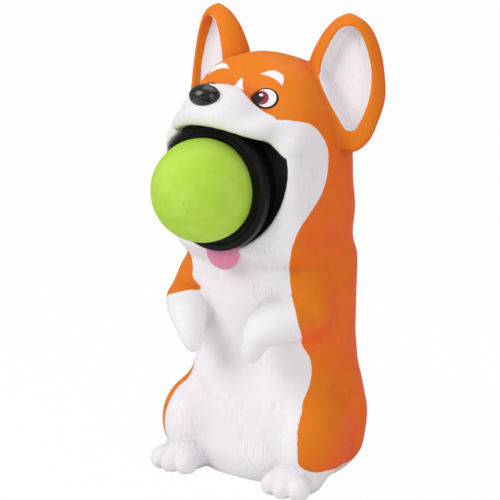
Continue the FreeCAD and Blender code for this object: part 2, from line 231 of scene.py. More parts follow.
def hermite_table(knots, count=700):
    """Rows of values at even places, through the knots, smooth and without overshoot."""
    x = knots[:, 0]
    y = knots[:, 1:]
    steps = np.diff(x)[:, None]
    slopes = np.diff(y, axis=0) / steps
    tangents = np.zeros_like(y)
    tangents[0] = slopes[0]
    tangents[-1] = slopes[-1]
    before = slopes[:-1]
    after = slopes[1:]
    same_way = before * after > 0
    harmonic = 2 * before * after / np.where(same_way, before + after, 1.0)
    tangents[1:-1] = np.where(same_way, harmonic, 0.0)
    places = np.linspace(x[0], x[-1], count)
    i = np.clip(np.searchsorted(x, places) - 1, 0, len(x) - 2)
    h = steps[i]
    t = ((places - x[i]) / steps[i, 0])[:, None]
    out = (2 * t**3 - 3 * t**2 + 1) * y[i] + (t**3 - 2 * t**2 + t) * h * tangents[i]
    out += (-2 * t**3 + 3 * t**2) * y[i + 1] + (t**3 - t**2) * h * tangents[i + 1]
    return places, out


def arc_points(start, middle, end, count=14):
    """Points along the circle through three points, from the first up to the last but one."""
    a, b, c = (complex(*p) for p in (start, middle, end))
    w = (c - a) / (b - a)
    centre = (b - a) * (w - abs(w) ** 2) / (2j * w.imag) + a
    first = a - centre
    turn = np.angle((c - centre) / first)
    half = np.angle((b - centre) / first)
    if half * turn < 0 or abs(half) > abs(turn):
        turn -= math.copysign(2 * math.pi, turn)
    z = centre + first * np.exp(1j * turn * np.arange(count) / count)
    return np.stack([z.real, z.imag], 1)


def closed_arcs(arcs):
    return np.concatenate([arc_points(*arc) for arc in arcs])


def smooth_line(points, per_span=8):
    """A Catmull-Rom curve through the points."""
    p = np.array(points, float)
    p = np.concatenate([p[:1] * 2 - p[1:2], p, p[-1:] * 2 - p[-2:-1]])
    t = (np.arange(per_span) / per_span)[:, None]
    spans = []
    for i in range(1, len(p) - 2):
        a, b, c, d = p[i - 1 : i + 3]
        square = 2 * a - 5 * b + 4 * c - d
        cube = 3 * b - a - 3 * c + d
        spans.append(0.5 * (2 * b + (c - a) * t + square * t**2 + cube * t**3))
    spans.append(p[-2:-1])
    return np.concatenate(spans)


class FlatShape:
    """Signed distance to a closed outline, kept on a fine grid: negative inside."""

    def __init__(self, outline, margin=12.0, pitch=0.3):
        self.pitch = pitch
        self.low = outline.min(0) - margin
        size = np.ceil((outline.max(0) + margin - self.low) / pitch).astype(int) + 1
        a = self.low[0] + np.arange(size[0]) * pitch
        b = self.low[1] + np.arange(size[1]) * pitch
        ga, gb = np.meshgrid(a, b, indexing="ij")
        best = np.full(ga.shape, 1e9)
        inside = np.zeros(ga.shape, bool)
        for p, q in zip(outline, np.roll(outline, -1, axis=0)):
            d = q - p
            length = d @ d
            if length < 1e-12:
                continue
            t = np.clip(((ga - p[0]) * d[0] + (gb - p[1]) * d[1]) / length, 0, 1)
            best = np.minimum(best, (ga - p[0] - t * d[0]) ** 2 + (gb - p[1] - t * d[1]) ** 2)
            if abs(d[1]) > 1e-12:
                crossing = (p[1] > gb) != (q[1] > gb)
                inside ^= crossing & (ga < d[0] * (gb - p[1]) / d[1] + p[0])
        self.table = np.where(inside, -1.0, 1.0) * np.sqrt(best)

    def at(self, a, b):
        t = self.table
        fa = np.clip((a - self.low[0]) / self.pitch, 0, t.shape[0] - 1.001)
        fb = np.clip((b - self.low[1]) / self.pitch, 0, t.shape[1] - 1.001)
        ia, ib = fa.astype(int), fb.astype(int)
        ra, rb = fa - ia, fb - ib
        low = t[ia, ib] * (1 - rb) + t[ia, ib + 1] * rb
        high = t[ia + 1, ib] * (1 - rb) + t[ia + 1, ib + 1] * rb
        return low * (1 - ra) + high * ra


# The figure as one smooth signed field: negative inside


def union(a, b, blend):
    """Two forms melted together."""
    h = np.maximum(blend - np.abs(a - b), 0.0) / blend
    return np.minimum(a, b) - h * h * blend / 4


def carve(a, b, blend):
    """The first form less the second, with a soft edge."""
    return -union(-a, b, blend)


def ellipsoid(x, y, z, centre, radii):
    """Nearly the distance to an oval body."""
    px = (x - centre[0]) / radii[0]
    py = (y - centre[1]) / radii[1]
    pz = (z - centre[2]) / radii[2]
    k0 = np.sqrt(px**2 + py**2 + pz**2)
    k1 = np.sqrt((px / radii[0]) ** 2 + (py / radii[1]) ** 2 + (pz / radii[2]) ** 2)
    return k0 * (k0 - 1.0) / np.maximum(k1, 1e-6)


def tapered_chain(x, y, z, route, blend):
    """Round limbs along a route of points with radii."""
    result = None
    for a, b in zip(route[:-1], route[1:]):
        d = b - a
        ax, ay, az = x - a[0], y - a[1], z - a[2]
        t = np.clip((ax * d[0] + ay * d[1] + az * d[2]) / (d[:3] @ d[:3]), 0.0, 1.0)
        gap = np.sqrt((ax - t * d[0]) ** 2 + (ay - t * d[1]) ** 2 + (az - t * d[2]) ** 2)
        piece = gap - a[3] - t * d[3]
        result = piece if result is None else union(result, piece, blend)
    return result


def crown_shift(heights):
    """Heights near the crown are stretched so that the dome closes round and not as a cone."""
    top = body_sections[-1, 0]
    span = top - crown_start
    depth = np.clip(top - heights, 0.0, None)
    return np.where(heights < crown_start, heights, top - span * np.sqrt(depth / span))


shifted = body_sections.copy()
shifted[:, 0] = crown_shift(body_sections[:, 0])
section_heights, section_values = hermite_table(shifted)


def corner_centre(half, half_depth, corner, side_radius, end_radius):
    """Centre of the corner arc between a side arc, centred on y = 0, and an end arc, on x = 0."""
    side_x = half - side_radius
    end_y = half_depth - end_radius
    reach_side = side_radius - corner
    reach_end = end_radius - corner
    gap = np.hypot(side_x, end_y)
    along = (reach_side**2 - reach_end**2 + gap**2) / (2 * gap)
    aside = np.sqrt(np.maximum(reach_side**2 - along**2, 0.0))
    ux = -side_x / gap
    uy = end_y / gap
    return side_x + along * ux - aside * uy, along * uy + aside * ux


def body(x, y, z):
    """Torso and head from their cross-sections: side, end and corner arcs that touch."""
    height = crown_shift(z)
    half, front, back, front_corner, back_corner = (
        np.interp(height, section_heights, section_values[:, i]) for i in range(5)
    )
    half = np.maximum(half, least_half)
    half_depth = np.maximum((back - front) / 2, least_half)
    across = np.abs(x)
    along = y - (front + back) / 2
    ahead = along < 0
    along = np.abs(along)
    corner = np.where(ahead, front_corner, back_corner)
    corner = np.clip(corner, least_corner, corner_share * np.minimum(half, half_depth))
    end_radius = np.where(ahead, front_arc_radius, back_arc_radius)
    cx, cy = corner_centre(half, half_depth, corner, side_arc_radius, end_radius)
    sx = half - side_arc_radius
    ey = half_depth - end_radius
    ux, uy = across - cx, along - cy
    in_corner = ((cx - sx) * uy - cy * ux >= 0) & (ux * (cy - ey) - uy * cx >= 0)
    side = np.hypot(across - sx, along) - side_arc_radius
    end = np.hypot(across, along - ey) - end_radius
    around = np.where(in_corner, np.hypot(ux, uy) - corner, np.maximum(side, end))
    return np.maximum(around, z - body_sections[-1, 0])


ear_places, ear_values = hermite_table(ear_sections, 300)
ear_hollow = FlatShape(closed_arcs(ear_hollow_outline))
mouth_shape = FlatShape(closed_arcs(mouth_outline))


def ear_coordinates(x, y, z):
    """Across, up and out of an ear's face, for the ear on the point's own side."""
    dx = np.abs(x) - ear_centre[0]
    dy = y - ear_centre[1]
    dz = z - ear_centre[2]
    across = dx * math.cos(ear_turn) + dy * math.sin(ear_turn)
    out = dx * math.sin(ear_turn) - dy * math.cos(ear_turn)
    depth = out * math.cos(ear_lean) + dz * math.sin(ear_lean)
    up = -out * math.sin(ear_lean) + dz * math.cos(ear_lean)
    return across, up, depth


def ear(x, y, z):
    """A blade of oval cross-sections with its hollow."""
    across, up, depth = ear_coordinates(x, y, z)
    middle, half, thick, behind = (np.interp(up, ear_places, ear_values[:, i]) for i in range(4))
    px = (across - middle) / half
    py = (depth + behind) / thick
    k0 = np.hypot(px, py)
    k1 = np.hypot(px / half, py / thick)
    blade = k0 * (k0 - 1.0) / np.maximum(k1, 1e-6)
    beyond = np.maximum(up - ear_sections[-1, 0], ear_sections[0, 0] - up)
    blade = np.maximum(blade, beyond)
    pocket = carve(-(depth + ear_pocket_depth), -ear_hollow.at(across, up), ear_pocket_round)
    return carve(blade, pocket, ear_pocket_edge)


def mouth(x, y, z):
    """The open mouth and, behind it, the bore for the barrel."""
    flat = mouth_shape.at(x, z - mouth_height)
    bowl = np.maximum(flat, y - (cup_floor + lining_gap))
    bore = np.maximum(np.hypot(x, z - mouth_height) - bore_radius, y - bore_end)
    return np.minimum(bowl, bore)


def whole_head(x, y, z):
    """The head before the mouth is opened."""
    snout = union(ellipsoid(x, y, z, *bridge), ellipsoid(x, y, z, *lips), snout_blend)
    return union(body(x, y, z), snout, head_blend)


def skin(x, y, z):
    """The whole moulded figure."""
    d = whole_head(x, y, z)
    ax = np.abs(x)
    d = union(d, ellipsoid(ax, y, z, *knee), limb_blend)
    d = union(d, ellipsoid(ax, y, z, *upper_arm), limb_blend)
    foot = ellipsoid(ax, y, z, *foot_pad)
    for centre in toe_centres:
        foot = union(foot, ellipsoid(ax, y, z, centre, toe_radii), toe_blend)
    d = union(d, foot, foot_blend)
    d = union(d, tapered_chain(ax, y, z, arm_route, elbow_blend), arm_blend)
    d = carve(d, z, base_edge_round)
    d = carve(d, mouth(x, y, z), mouth_edge)
    return union(d, ear(x, y, z), ear_blend)


# Meshes from fields


def surface_net(field, low, high, step, chunk=150000):
    """Vertices and quads of the field's zero surface, on a cubic grid."""
    axes = [
        np.arange(math.floor(a / step) - 1, math.ceil(b / step) + 2) * step
        for a, b in zip(low, high)
    ]
    shape = tuple(len(a) for a in axes)
    gx, gy, gz = (g.ravel() for g in np.meshgrid(*axes, indexing="ij"))
    values = np.empty(len(gx))
    for i in range(0, len(gx), chunk):
        part = slice(i, i + chunk)
        values[part] = field(gx[part], gy[part], gz[part])
    values = values.reshape(shape)
    inside = values < 0
    corners = [(i, j, k) for i in (0, 1) for j in (0, 1) for k in (0, 1)]

    def corner_view(array, c):
        return array[tuple(slice(c[i], shape[i] - 1 + c[i]) for i in range(3))]

    count = sum(corner_view(inside, c).astype(np.int8) for c in corners)
    cells = np.argwhere((count > 0) & (count < 8))
    at_corner = {c: values[tuple((cells + c).T)] for c in corners}
    total = np.zeros((len(cells), 3))
    crossings = np.zeros(len(cells))
    for c in corners:
        for axis in range(3):
            if c[axis]:
                continue
            other = tuple(1 if i == axis else c[i] for i in range(3))
            a, b = at_corner[c], at_corner[other]
            cut = (a < 0) != (b < 0)
            t = np.where(cut, a / np.where(cut, a - b, 1.0), 0.0)
            point = np.tile(np.array(c, float), (len(cells), 1))
            point[:, axis] += t
            total += point * cut[:, None]
            crossings += cut
    origin = np.array([a[0] for a in axes])
    vertices = (cells + total / crossings[:, None]) * step + origin
    index = np.full(shape, -1)
    index[tuple(cells.T)] = np.arange(len(cells))
    quads = []
    for axis in range(3):
        one, two = [i for i in range(3) if i != axis]
        middle = [slice(1, size - 1) for size in shape]
        lower, upper = list(middle), list(middle)
        lower[axis] = slice(0, shape[axis] - 1)
        upper[axis] = slice(1, shape[axis])
        first, second = inside[tuple(lower)], inside[tuple(upper)]
        places = np.argwhere(first != second)
        starts_inside = first[tuple(places.T)]
        places[:, one] += 1
        places[:, two] += 1
        ring = []
        for da, db in ((0, 0), (1, 0), (1, 1), (0, 1)):
            cell = places.copy()
            cell[:, one] -= da
            cell[:, two] -= db
            ring.append(index[tuple(cell.T)])
        ring = np.stack(ring, 1)
        flip = starts_inside if axis != 1 else ~starts_inside
        ring[~flip] = ring[~flip][:, ::-1]
        quads.append(ring)
    return vertices, np.concatenate(quads)


def gradient(field, p, reach=0.15):
    """The field's slope at each point, from values a little way off."""
    g = np.empty_like(p)
    for axis in range(3):
        offset = np.zeros(3)
        offset[axis] = reach
        g[:, axis] = field(*(p + offset).T) - field(*(p - offset).T)
    return g / (2 * reach)


def settle(field, p, rounds=4, limit=0.6, least_slope=0.05):
    """Moves points onto the field's zero surface."""
    for _ in range(rounds):
        g = gradient(field, p)
        slope = (g**2).sum(1)
        move = -g * (field(*p.T) / np.maximum(slope, least_slope))[:, None]
        length = np.linalg.norm(move, axis=1, keepdims=True)
        p = p + move * np.minimum(1.0, limit / np.maximum(length, 1e-9))
    return p


def unit(v):
    return v / np.maximum(np.linalg.norm(v, axis=-1, keepdims=True), 1e-12)


def add_object(name, data):
    obj = bpy.data.objects.new(name, data)
    bpy.context.scene.collection.objects.link(obj)
    return obj


def new_mesh(name, vertices, faces, normals=None):
    """A mesh object from points in millimetres. Faces may be an array of quads or a list."""
    mesh = bpy.data.meshes.new(name)
    points = np.asarray(vertices, float) * MM
    mesh.from_pydata(points.tolist(), [], faces.tolist() if isinstance(faces, np.ndarray) else faces)
    mesh.polygons.foreach_set("use_smooth", np.ones(len(mesh.polygons), bool))
    if normals is not None:
        mesh.normals_split_custom_set_from_vertices(normals.tolist())
    return add_object(name, mesh)


def add_attribute(obj, name, values):
    """Gives each point a number or a vector, which the materials read."""
    values = np.asarray(values, np.float32)
    kind, field = ("FLOAT", "value") if values.ndim == 1 else ("FLOAT_VECTOR", "vector")
    attribute = obj.data.attributes.new(name, kind, "POINT")
    attribute.data.foreach_set(field, values.ravel())


def grid_faces(rows, columns, closed):
    """Quads between rows of points; a closed grid joins its last column to its first."""
    steps = columns if closed else columns - 1
    r, c = np.meshgrid(np.arange(rows - 1), np.arange(steps), indexing="ij")
    r, c = r.ravel(), c.ravel()
    n = (c + 1) % columns
    return np.stack([r * columns + c, r * columns + n, (r + 1) * columns + n, (r + 1) * columns + c], 1)


# Paint


def paint_shape():
    """The white front, flattened: degrees round the figure as millimetres, height."""
    line = smooth_line(paint_line)
    line[:, 0] *= mm_per_degree
    left, right, bottom = -6.0, 185.0 * mm_per_degree, -12.0
    corners = np.array(((left, bottom), (right, bottom), (right, line[0, 1])))
    end = np.array(((left, line[-1, 1]),))
    return FlatShape(np.concatenate([corners, line, end]), margin=6.0, pitch=0.3)


def muzzle_shape():
    """The white over the muzzle: distance from the middle, tilted height."""
    line = np.array(muzzle_line)
    bottom = 150.0
    corners = np.array(((line[-1, 0], bottom), (line[0, 0], bottom)))
    return FlatShape(np.concatenate([line, corners]), margin=6.0, pitch=0.3)


white_front = paint_shape()
white_muzzle = muzzle_shape()


def paint_at(p):
    """Distance to the paint line in millimetres: positive on orange, negative on white."""
    x, y, z = p.T
    around = np.degrees(np.arctan2(np.abs(x), -y))
    for height, spread, degrees in right_arm_paint:
        around = around + np.where(x < 0, degrees, 0.0) * np.exp(-(((z - height) / spread) ** 2))
    d = white_front.at(around * mm_per_degree, z)
    tilted = z + muzzle_tilt * (y - muzzle_tilt_front)
    d = np.minimum(d, np.maximum(white_muzzle.at(np.abs(x), tilted), y - muzzle_back))
    across, up, depth = ear_coordinates(x, y, z)
    across = np.where(x < 0, right_ear_stretch * across + right_ear_shift, across)
    in_outline = ear_hollow.at(across, up) - ear_paint_margin
    in_pocket = -(depth + ear_pocket_depth + ear_paint_depth)
    return np.minimum(d, np.maximum(in_outline, in_pocket))


def crease_shade_at(p, reach=3.0, deepest=0.45):
    """How hollow the skin is round each point, from 0 to 1; the paint is darkened by it as painted
    shade in the creases.
    """
    around = np.zeros(len(p))
    for axis in range(3):
        offset = np.zeros(3)
        offset[axis] = reach
        around += skin(*(p + offset).T) + skin(*(p - offset).T)
    return np.clip(-around / 6 / deepest, 0.0, 1.0)


def lip_reflection_at(p, reach=5.5, start=13.0, span=9.0):
    """How close each point lies to the edge of the upper lip, from 0 to 1; by it the white takes a
    painted green reflection of the ball and painted shade.
    """
    x, y, z = p.T
    near = 1.0 - mouth_shape.at(x, z - mouth_height) / reach
    return np.clip(near, 0.0, 1.0) * np.clip((z - mouth_height - start) / span, 0.0, 1.0)


def bore_shade_at(p, margin=0.6, end_margin=1.0):
    """1 on the walls of the bore, which show the inside of the figure, else 0; there the skin is
    painted near black as painted shade.
    """
    x, y, z = p.T
    in_bore = np.hypot(x, z - mouth_height) < bore_radius + margin
    in_length = (y > cup_floor - end_margin) & (y < bore_end + end_margin)
    return (in_bore & in_length).astype(float)


skin_attributes = {"paint": paint_at, "crease_shade": crease_shade_at, "lip": lip_reflection_at, "inside": bore_shade_at}

# Materials


class Shader:
    """Short ways to add and join nodes in one material."""

    def __init__(self, name):
        self.material = bpy.data.materials.new(name)
        self.material.use_nodes = True
        self.nodes = self.material.node_tree.nodes
        self.links = self.material.node_tree.links
        self.bsdf = self.nodes["Principled BSDF"]

    def feed(self, socket, value):
        if isinstance(value, bpy.types.NodeSocket):
            self.links.new(value, socket)
        else:
            socket.default_value = value

    def node(self, kind, inputs=None, **settings):
        """Adds a node. Its inputs go by number or name."""
        made = self.nodes.new(kind)
        for key, value in settings.items():
            setattr(made, key, value)
        for key, value in (inputs or {}).items():
            self.feed(made.inputs[key], value)
        return made

    def math(self, operation, a, b=0.0, clamp=False):
        made = self.node("ShaderNodeMath", {0: a, 1: b}, operation=operation, use_clamp=clamp)
        return made.outputs[0]

    def vector(self, operation, a, b=(0.0, 0.0, 0.0), output=0):
        return self.node("ShaderNodeVectorMath", {0: a, 1: b}, operation=operation).outputs[output]

    def attribute(self, name, output="Fac"):
        return self.node("ShaderNodeAttribute", attribute_name=name).outputs[output]

    def position(self, scale=(1.0, 1.0, 1.0)):
        return self.vector("MULTIPLY", self.node("ShaderNodeTexCoord").outputs["Object"], scale)

    def noise(self, vector, scale, detail=3.0, roughness=0.55, distortion=0.0):
        inputs = {"Vector": vector, "Scale": scale, "Detail": detail}
        inputs.update({"Roughness": roughness, "Distortion": distortion})
        return self.node("ShaderNodeTexNoise", inputs).outputs["Fac"]

    def spread(self, value, low, high, to_low=0.0, to_high=1.0):
        inputs = dict(enumerate((value, low, high, to_low, to_high)))
        return self.node("ShaderNodeMapRange", inputs, interpolation_type="SMOOTHSTEP").outputs[0]

    def mix(self, share, a, b):
        return self.node("ShaderNodeMix", {0: share, 6: a, 7: b}, data_type="RGBA").outputs[2]

    def bump(self, height, distance, strength=1.0, after=None):
        inputs = {"Height": height, "Distance": distance, "Strength": strength}
        if after is not None:
            inputs["Normal"] = after
        return self.node("ShaderNodeBump", inputs).outputs[0]

    def surface(self, colour, roughness, specular=0.5, normal=None):
        self.feed(self.bsdf.inputs["Base Color"], colour)
        self.feed(self.bsdf.inputs["Roughness"], roughness)
        self.feed(self.bsdf.inputs["Specular IOR Level"], specular)
        if normal is not None:
            self.feed(self.bsdf.inputs["Normal"], normal)
        return self.material


def srgb(r, g, b):
    """A colour written as 0 to 255, as the shader wants it."""
    levels = [c / 255 for c in (r, g, b)]
    linear = [c / 12.92 if c <= 0.04045 else ((c + 0.055) / 1.055) ** 2.4 for c in levels]
    return (*linear, 1.0)


def fur_height(s):
    """Combed strokes that run down the body, with finer hairs among them."""
    bend = s.noise(s.position(), 40.0, 2.0)
    strands = s.noise(s.position((1.0, 1.0, 0.13)), 900.0, 3.0, 0.6, 0.4)
    hairs = s.noise(s.position((1.0, 1.0, 0.09)), 2400.0, 2.0, 0.6, 0.6)
    patch = s.spread(s.noise(s.position(), 55.0, 2.0), 0.42, 0.62, 0.25, 1.0)
    sum_of = s.math("ADD", s.math("MULTIPLY", strands, 0.7), s.math("MULTIPLY", hairs, 0.3))
    return s.math("MULTIPLY", sum_of, s.math("ADD", patch, s.math("MULTIPLY", bend, 0.1)))


def painted_skin():
    """White and orange paint that part along the paint line, with brushed strokes of fur, and painted
    light, shade and reflection.
    """
    s = Shader("painted_skin")
    unevenness = s.math("SUBTRACT", s.noise(s.position(), 700.0, 2.0), 0.5)
    wobble = s.math("MULTIPLY", unevenness, 0.5)
    edge = s.math("ADD", s.attribute("paint"), wobble)
    orange_share = s.spread(edge, -0.12, 0.12)
    crease_shade = s.attribute("crease_shade")
    cloud = s.noise(s.position(), 28.0, 3.0)

    # Painted light and shade: the orange is lighter and yellower on what faces forward and up, towards
    # the lamps, and darker and redder on what faces away
    normal = s.node("ShaderNodeTexCoord").outputs["Normal"]
    light_facing = s.vector("DOT_PRODUCT", normal, (0.0, -0.75, 0.6), "Value")
    drift = s.math("MULTIPLY", s.math("SUBTRACT", cloud, 0.5), 0.3)
    turned = s.math("ADD", light_facing, drift)
    orange = s.mix(s.spread(turned, -0.45, 0.6), srgb(240, 92, 18), srgb(226, 121, 13))
    white = s.mix(s.spread(cloud, 0.3, 0.7), srgb(232, 228, 232), srgb(239, 236, 239))

    # Brush strokes run down the body, most of them in the creases, where they add to the painted shade
    strands = s.noise(s.position((1.0, 1.0, 0.11)), 1300.0, 2.0, 0.6, 0.3)
    patch = s.spread(s.noise(s.position(), 60.0, 2.0), 0.45, 0.65, 0.0, 0.45)
    where = s.math("ADD", patch, s.math("MULTIPLY", crease_shade, 0.9), True)
    strokes = s.math("MULTIPLY", s.spread(strands, 0.5, 0.72), where)
    # Painted shade: the white is darkened in the creases
    white = s.mix(s.math("MULTIPLY", crease_shade, 0.35), white, srgb(208, 202, 208))
    white = s.mix(s.math("MULTIPLY", strokes, 0.55), white, srgb(176, 170, 176))
    # Painted shade: the orange is darkened in the creases
    orange = s.mix(s.math("MULTIPLY", crease_shade, 0.5), orange, srgb(196, 82, 30))
    orange = s.mix(s.math("MULTIPLY", strokes, 0.5), orange, srgb(176, 72, 28))
    # Painted reflection and shade: the white along the upper lip's edge is tinted a darker green, as
    # light thrown up by the ball
    white = s.mix(s.math("MULTIPLY", s.attribute("lip"), 0.65), white, srgb(196, 203, 168))
    colour = s.mix(orange_share, white, orange)
    # Painted shade: the walls of the bore are painted near black, as the unlit hollow inside the figure
    colour = s.mix(s.attribute("inside"), colour, srgb(40, 33, 32))

    height = fur_height(s)
    grain = s.noise(s.position(), 3800.0, 2.0)
    normal = s.bump(height, 0.0005, 0.6)
    normal = s.bump(grain, 0.00006, 0.5, normal)
    roughness = s.spread(s.noise(s.position(), 260.0, 3.0), 0.3, 0.7, 0.5, 0.62)
    return s.surface(colour, roughness, 0.22, normal)


def black_material(name, roughness, specular=0.5, tint=(14, 13, 14), grain=0.00004):
    s = Shader(name)
    cloud = s.noise(s.position(), 420.0, 4.0)
    colour = s.mix(cloud, srgb(*tint), srgb(*[c + 7 for c in tint]))
    rough = s.spread(cloud, 0.3, 0.75, roughness, roughness + 0.1)
    normal = s.bump(s.noise(s.position(), 2200.0, 3.0), grain, 0.5)
    return s.surface(colour, rough, specular, normal)


def foam_green():
    """Fine closed foam with faint hair lines."""
    s = Shader("ball_foam")
    cloud = s.noise(s.position(), 60.0, 3.0)
    colour = s.mix(s.spread(cloud, 0.3, 0.7), srgb(168, 206, 60), srgb(182, 216, 82))
    bends = s.noise(s.position(), 150.0, 3.0, 0.6, 1.8)
    line = s.spread(s.math("ABSOLUTE", s.math("SUBTRACT", bends, 0.5)), 0.0, 0.012, 1.0, 0.0)
    patch = s.spread(s.noise(s.position(), 110.0, 2.0), 0.5, 0.62, 0.0, 0.3)
    colour = s.mix(s.math("MULTIPLY", line, patch), colour, srgb(120, 158, 40))
    cells = s.node("ShaderNodeTexVoronoi", {"Vector": s.position(), "Scale": 1500.0})
    pores = s.bump(cells.outputs["Distance"], 0.00008, 0.5)
    normal = s.bump(s.noise(s.position(), 900.0, 4.0), 0.00012, 0.4, pores)
    return s.surface(colour, 0.75, 0.25, normal)


def soft_paint(name, dark, light, squeeze, scale, roughness, specular):
    """Brushed paint of one colour, with fine upright strokes."""
    s = Shader(name)
    colour = s.mix(s.noise(s.position(), 180.0, 3.0), srgb(*dark), srgb(*light))
    strokes = s.noise(s.position((1.0, 1.0, squeeze)), scale, 3.0)
    return s.surface(colour, roughness, specular, s.bump(strokes, 0.00008, 0.5))


def printed_eye():
    """An eye of plain printed shapes, placed in millimetres on the eye's own plane."""
    s = Shader("printed_eye")
    plane = s.attribute("plane", "Vector")

    def oval(centre, radii):
        offset = s.vector("SUBTRACT", plane, (*centre, 0.0))
        scaled = s.vector("DIVIDE", offset, (*radii, 1.0))
        length = s.vector("LENGTH", scaled, output="Value")
        return s.math("MULTIPLY", s.math("SUBTRACT", length, 1.0), min(radii))

    def cover(under, colour, centre, radii, blur=0.07):
        return s.mix(s.spread(oval(centre, radii), -blur, blur, 1.0, 0.0), under, colour)

    # Each layer covers the one before: colour, centre, radii, blur of its edge
    colour = srgb(24, 14, 18)
    white = (srgb(238, 229, 235), (0.2, -0.1), (4.95, 4.7))
    iris_edge = (srgb(62, 18, 22), (-1.95, 0.05), (3.95, 3.9))
    iris = (srgb(166, 62, 62), (-1.95, 0.05), (3.5, 3.45))
    iris_shade = (srgb(112, 34, 38), (-2.3, 0.5), (2.9, 2.9), 0.7)
    pupil = (srgb(14, 8, 10), (-3.4, 0.0), (2.6, 3.0), 0.15)
    inner_corner = (srgb(20, 10, 14), (-6.0, 0.0), (2.0, 4.2), 0.15)
    glint = (srgb(248, 240, 243), (-1.35, 1.6), (0.95, 0.8))
    for layer in (white, iris_edge, iris, iris_shade, pupil, inner_corner, glint):
        colour = cover(colour, *layer)
    speckle = s.noise(s.position(), 2500.0, 2.0)
    normal = s.bump(speckle, 0.00003, 0.4)
    return s.surface(colour, s.spread(speckle, 0.3, 0.7, 0.42, 0.5), 0.16, normal)


def give(obj, material, body_name, slot, *nodes):
    """Sets an object's material, the body it rides on and the solids it stands for; the slot is not
    used.
    """
    obj.data.materials.clear()
    obj.data.materials.append(material)
    if body_name:
        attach(obj, body_name)
    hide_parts(*nodes)
    return obj


# Camera: the photograph's view
camera_azimuth = math.radians(36.5)
camera_elevation = math.radians(12.5)
camera_distance = 0.930
pixels_per_mm = 2.25
image_size = 500
aim_height = 0.1025
aim_shift_pixels = 15.0
sensor_width = 36.0

# Studio: the floor and the world look white to the camera and light the figure less
floor_half_size = 3.0
floor_glow_share = 0.975
world_light = 0.36
world_seen = 1.0
lamp_aim = (0, 0, 0.1)


def make_camera():
    """A long lens from the photograph's side, aimed so that the figure falls where it does there."""
    back = Vector((
        math.sin(camera_azimuth) * math.cos(camera_elevation),
        -math.cos(camera_azimuth) * math.cos(camera_elevation),
        math.sin(camera_elevation),
    ))
    right = Vector((math.cos(camera_azimuth), math.sin(camera_azimuth), 0.0))
    target = Vector((0, 0, aim_height)) - right * (aim_shift_pixels / pixels_per_mm * MM)
    data = bpy.data.cameras.new("camera")
    data.sensor_width = sensor_width
    data.lens = pixels_per_mm * camera_distance / MM / image_size * sensor_width
    data.clip_start = 0.01
    data.clip_end = 20.0
    camera = add_object("camera", data)
    camera.location = target + back * camera_distance
    camera.rotation_mode = "QUATERNION"
    camera.rotation_quaternion = (-back).to_track_quat("-Z", "Y")
    bpy.context.scene.camera = camera


def area_light(name, place, size, power):
    """A soft lamp that looks at the figure's lower middle."""
    data = bpy.data.lights.new(name, "AREA")
    data.shape = "RECTANGLE"
    data.size, data.size_y = size
    data.energy = power
    light = add_object(name, data)
    light.location = place
    light.rotation_mode = "QUATERNION"
    light.rotation_quaternion = (Vector(lamp_aim) - Vector(place)).to_track_quat("-Z", "Y")


def make_stage():
    """Floor, world and lamps."""
    size = floor_half_size
    mesh = bpy.data.meshes.new("floor")
    corners = [(-size, -size, 0), (size, -size, 0), (size, size, 0), (-size, size, 0)]
    mesh.from_pydata(corners, [], [(0, 1, 2, 3)])
    floor = add_object("floor", mesh)
    s = Shader("floor")
    tone = s.noise(s.position(), 9.0, 2.0)
    s.surface(s.mix(tone, srgb(236, 236, 236), srgb(240, 240, 240)), 0.8, 0.2)
    path = s.node("ShaderNodeLightPath")
    glow = s.node("ShaderNodeEmission", {"Strength": 1.0})
    shown = s.math("MULTIPLY", path.outputs["Is Camera Ray"], floor_glow_share)
    blend = s.node("ShaderNodeMixShader", {0: shown, 1: s.bsdf.outputs[0], 2: glow.outputs[0]})
    s.feed(s.nodes["Material Output"].inputs["Surface"], blend.outputs[0])
    mesh.materials.append(s.material)

    world = bpy.data.worlds.new("studio")
    bpy.context.scene.world = world
    world.use_nodes = True
    nodes = world.node_tree.nodes
    links = world.node_tree.links
    plain = nodes["Background"]
    plain.inputs["Color"].default_value = (1.0, 1.0, 1.0, 1.0)
    seen = nodes.new("ShaderNodeLightPath").outputs["Is Camera Ray"]
    strength = nodes.new("ShaderNodeMapRange")
    strength.inputs["To Min"].default_value = world_light
    strength.inputs["To Max"].default_value = world_seen
    links.new(seen, strength.inputs["Value"])
    links.new(strength.outputs[0], plain.inputs["Strength"])

    area_light("key", (-0.55, -0.95, 0.85), (0.8, 0.8), 10.0)
    area_light("side", (0.95, -0.55, 0.45), (0.6, 0.9), 3.7)
    area_light("top", (0.0, 0.25, 1.1), (0.9, 0.9), 4.0)


# Pieces

# A box round the whole figure, how fine a cut may be, and how far round a normal is measured
figure_low = (-57.0, -56.0, -1.0)
figure_high = (57.0, 43.0, 211.0)
cut_tolerance = 1e-7
normal_reach = 0.25

# The eye's bead: how far it stands out at its edge and more in its middle, and its sunk rim
eye_lift = 0.25
eye_dome = 0.75
eye_rim_share = 1.02
eye_rim_sink = -0.4
eye_start = 8.0

# The brow's moon: its low and high edge over its chord, its chord under the aim, its thickness
brow_low = 0.8
brow_high = 4.9
brow_drop = 1.5
brow_thickness = 0.65
brow_sink = 0.15
brow_inner_end = 1.8
brow_outer_end = 4.5
brow_start = 5.0

# Nostrils: a round pit with a flat tail on each side, as offsets from the nose's centre, radii
nostril_pit = ((3.2, -5.4, 0.2), (1.3, 2.0, 1.1))
nostril_tail = ((5.0, -4.1, -1.0), (1.9, 1.6, 0.6))

# The tongue's groove: a flattened round channel down its front
groove_y = -35.0
groove_flatness = 1.2
groove_radius = 1.1
tongue_gap = 0.3

